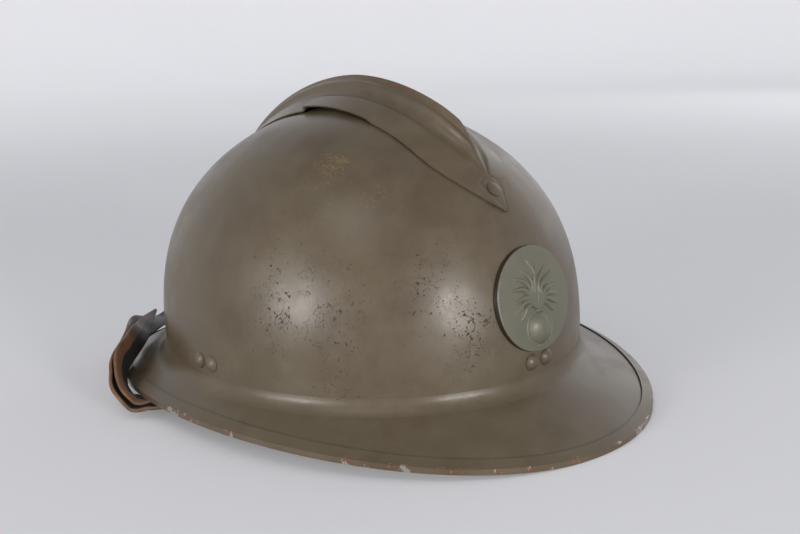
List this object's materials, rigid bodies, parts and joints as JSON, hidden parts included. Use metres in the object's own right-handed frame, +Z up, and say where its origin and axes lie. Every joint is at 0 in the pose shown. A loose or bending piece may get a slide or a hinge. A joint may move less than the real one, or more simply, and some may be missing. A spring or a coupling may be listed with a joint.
{
  "type": "comb helmet",
  "caption": "Painted steel comb helmet with brim, front badge, riveted liner of leather tongues and a chinstrap stowed round the rear brim.",
  "frame": {"origin": "middle of the head opening, in the plane that the rim stands on", "axes": "-Y the way the wearer faces, +X the wearer's left, +Z up"},
  "size_m": [0.2386, 0.295, 0.1464],
  "materials": {
    "helmet_paint": "satin, worn",
    "badge_paint": "satin, worn",
    "steel": "dull",
    "aluminium": "dull",
    "felt": "matt",
    "liner_leather": "worn",
    "cord": "matt",
    "strap_leather": "worn",
    "buckle_steel": "dull"
  },
  "bodies": {
    "helmet": {"shell": "helmet_paint", "rim_binding": "helmet_paint", "crest": "helmet_paint", "crest_rivets": "helmet_paint", "badge_disc": "badge_paint", "badge_prongs": "steel", "liner_rivets": "helmet_paint", "bail_rivets": "helmet_paint", "liner_bracket_front": "steel", "liner_bracket_rear": "steel", "liner_bracket_right": "steel", "liner_bracket_left": "steel", "hoop_rivets": "aluminium", "liner_hoop": "aluminium", "spacer_front_right": "aluminium", "spacer_front_left": "aluminium", "spacer_rear_right": "aluminium", "spacer_rear_left": "aluminium", "liner_felt": "felt", "sweatband": "liner_leather", "liner_tongue_1": "liner_leather", "liner_tongue_2": "liner_leather", "liner_tongue_3": "liner_leather", "liner_tongue_4": "liner_leather", "liner_tongue_5": "liner_leather", "liner_tongue_6": "liner_leather", "liner_tongue_7": "liner_leather", "drawstring": "cord", "bail_plate_right": "steel", "bail_plate_left": "steel", "chinstrap_end_right": "strap_leather", "chinstrap_end_left": "strap_leather", "chinstrap_run": "strap_leather", "chinstrap_tail": "strap_leather"},
    "right_bail": {"bail_right": "steel"},
    "left_bail": {"bail_left": "steel"},
    "slider": {"strap_slider": "buckle_steel"}
  },
  "joints": [
    {"name": "bail_right_swing", "type": "hinge", "parent": "helmet", "child": "right_bail", "pos_m": [-0.09067, 0, 0.01816], "axis": [0, 1, 0], "range_deg": [-85, 52], "deforming": ["chinstrap_end_right"]},
    {"name": "bail_left_swing", "type": "hinge", "parent": "helmet", "child": "left_bail", "pos_m": [0.09067, 0, 0.01816], "axis": [0, -1, 0], "range_deg": [-85, 52], "deforming": ["chinstrap_end_left"]},
    {"name": "slider_travel", "type": "hinge", "parent": "helmet", "child": "slider", "pos_m": [0, -0.071, 0.01747], "axis": [0, 0, 1], "range_deg": [-5.5, 5.5]}
  ]
}
